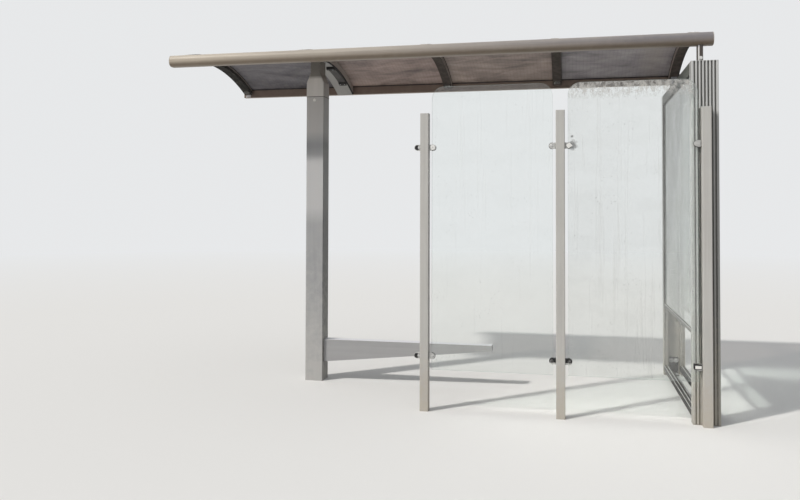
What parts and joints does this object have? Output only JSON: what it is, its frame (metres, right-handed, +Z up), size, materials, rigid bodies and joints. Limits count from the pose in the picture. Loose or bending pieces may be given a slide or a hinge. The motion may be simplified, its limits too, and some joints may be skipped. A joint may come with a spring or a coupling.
{
  "type": "bus shelter",
  "caption": "Open bus shelter: arched translucent roof on rounded beams, a square main post with a low seat beam, glass panes between slim posts, and a fluted display cabinet frame.",
  "frame": {"origin": "centre of the bounding box's base, at paving level", "axes": "+X along the shelter towards the display cabinet, +Y from the glass side towards the road side, +Z up"},
  "size_m": [4.33, 1.864, 2.9238],
  "materials": {
    "main_post_paint": "satin grey paint, dusty",
    "beam_paint": "satin beige-grey paint",
    "rib_paint": "satin dark brown-grey paint",
    "roof_sheet_plastic": "smoky translucent sheet",
    "glass_post_metal": "satin light grey paint",
    "pane_glass": "clear, dusty and smeared",
    "clamp_steel": "satin",
    "cabinet_metal": "anodised, dull",
    "cabinet_rail_paint": "satin dark grey-green paint",
    "display_glass": "clear, dusty",
    "spigot_steel": "dull",
    "black_trim": "dull black"
  },
  "bodies": {
    "root": {"arm_lamp": "rib_paint", "arm_lamp_ends": "black_trim", "cabinet_top_rail": "cabinet_rail_paint", "front_beam_caps": "beam_paint", "front_foot_bracket": "spigot_steel", "front_roof_beam": "beam_paint", "front_spigot": "spigot_steel", "front_upright": "cabinet_metal", "glass_pane_1": "pane_glass", "glass_pane_2": "pane_glass", "glass_post_1": "glass_post_metal", "glass_post_2": "glass_post_metal", "glass_post_3": "glass_post_metal", "glass_post_caps": "glass_post_metal", "left_bottom_rail": "cabinet_metal", "left_display_glass": "display_glass", "left_end_rib": "rib_paint", "left_middle_rail": "cabinet_metal", "left_rib": "rib_paint", "main_post": "main_post_paint", "pane_clamps_1": "clamp_steel", "pane_clamps_2": "clamp_steel", "pane_clamps_3": "clamp_steel", "post_head": "main_post_paint", "rear_beam_caps": "beam_paint", "rear_foot_bracket": "spigot_steel", "rear_roof_beam": "beam_paint", "rear_spigot": "spigot_steel", "rear_upright": "cabinet_metal", "rib_brackets": "glass_post_metal", "right_bottom_rail": "cabinet_metal", "right_display_glass": "display_glass", "right_end_rib": "rib_paint", "right_middle_rail": "cabinet_metal", "right_rib": "rib_paint", "roof_arm": "main_post_paint", "roof_cover_strips": "rib_paint", "roof_sheet_1": "roof_sheet_plastic", "roof_sheet_2": "roof_sheet_plastic", "roof_sheet_3": "roof_sheet_plastic", "roof_sheet_4": "roof_sheet_plastic", "seat_beam": "main_post_paint", "upright_caps": "cabinet_metal"}
  },
  "joints": []
}
